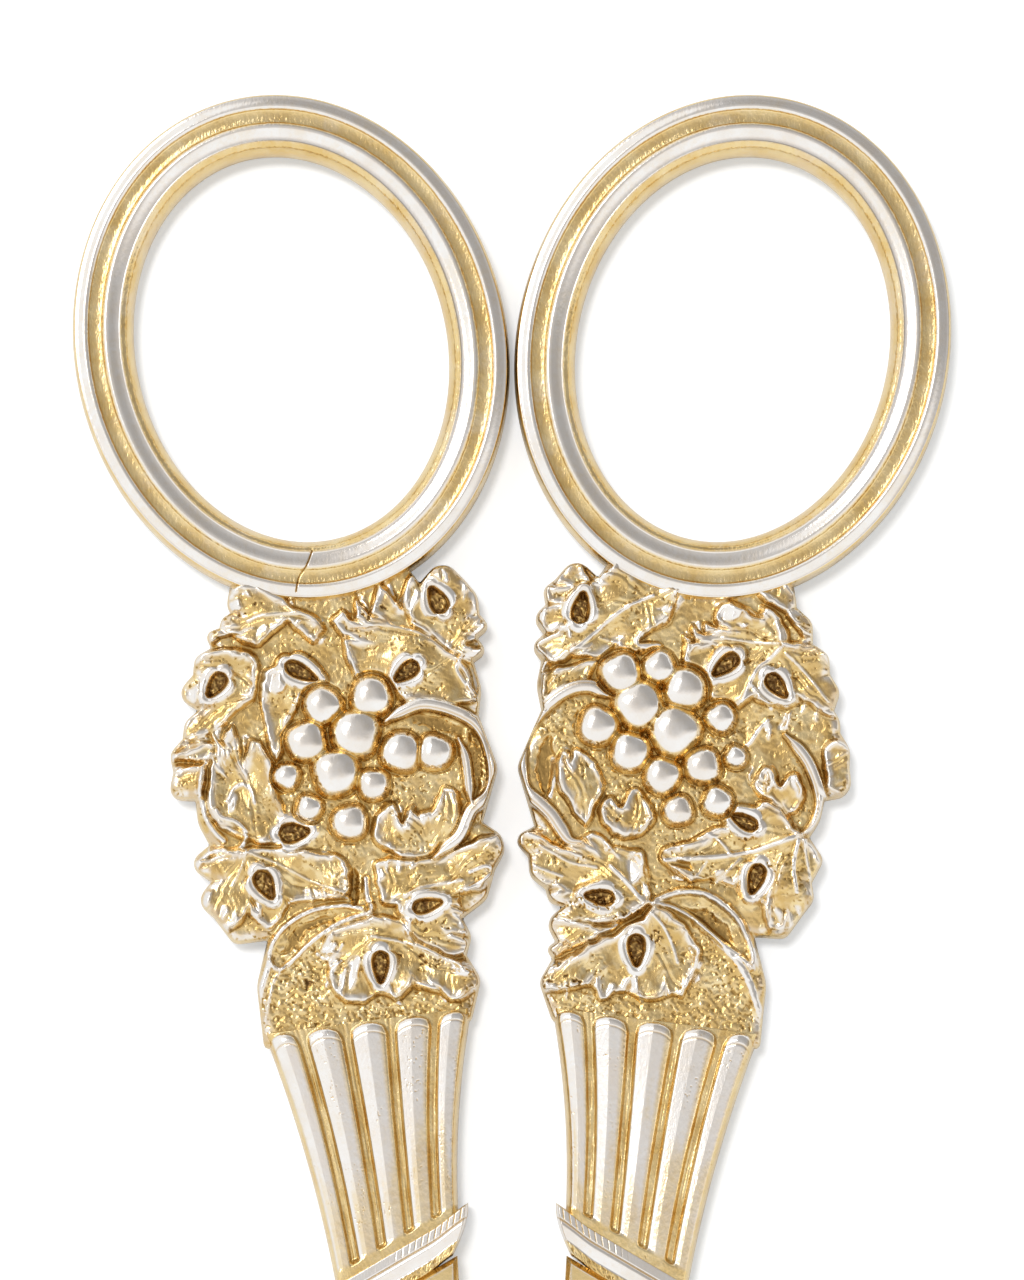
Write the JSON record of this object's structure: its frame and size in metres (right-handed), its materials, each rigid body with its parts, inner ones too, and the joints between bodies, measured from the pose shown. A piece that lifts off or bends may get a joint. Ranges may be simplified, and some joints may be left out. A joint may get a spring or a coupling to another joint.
{
  "type": "grape shears",
  "caption": "Closed pair of silver-gilt table shears with moulded oval finger bows, cast vine and grape panels, fluted grips and steel blades on one slotted pivot screw",
  "frame": {"origin": "on the pivot axis, in the flat underside of the pivot boss that the closed shears lie on", "axes": "+Z is the pivot axis and points out of the screw head, +Y points to the finger bows, +X to the right lever"},
  "size_m": [0.0628, 0.1775, 0.007],
  "materials": {
    "silver_gilt": "parcel-gilt silver, worn bright on the raised parts",
    "gilt": "gilded silver, satin",
    "polished": "polished silver",
    "steel": "ground steel"
  },
  "bodies": {
    "back_half": {"right_bow": "silver_gilt", "right_vine_panel": "gilt", "right_fluted_grip": "silver_gilt", "right_ribbon_collar": "polished", "right_arm": "gilt", "right_cutting_blade": "steel", "right_blade_rivet_1": "gilt", "right_blade_rivet_2": "gilt", "right_blade_rivet_3": "gilt", "pivot_screw": "polished"},
    "front_half": {"left_bow": "silver_gilt", "left_vine_panel": "gilt", "left_fluted_grip": "silver_gilt", "left_ribbon_collar": "polished", "left_arm": "gilt", "left_cutting_blade": "steel", "left_blade_rivet_1": "gilt", "left_blade_rivet_2": "gilt", "left_blade_rivet_3": "gilt"}
  },
  "joints": [
    {"name": "pivot_hinge", "type": "hinge", "parent": "back_half", "child": "front_half", "pos_m": [0, 0, 0], "axis": [0, 0, 1], "range_deg": [0, 55]}
  ]
}
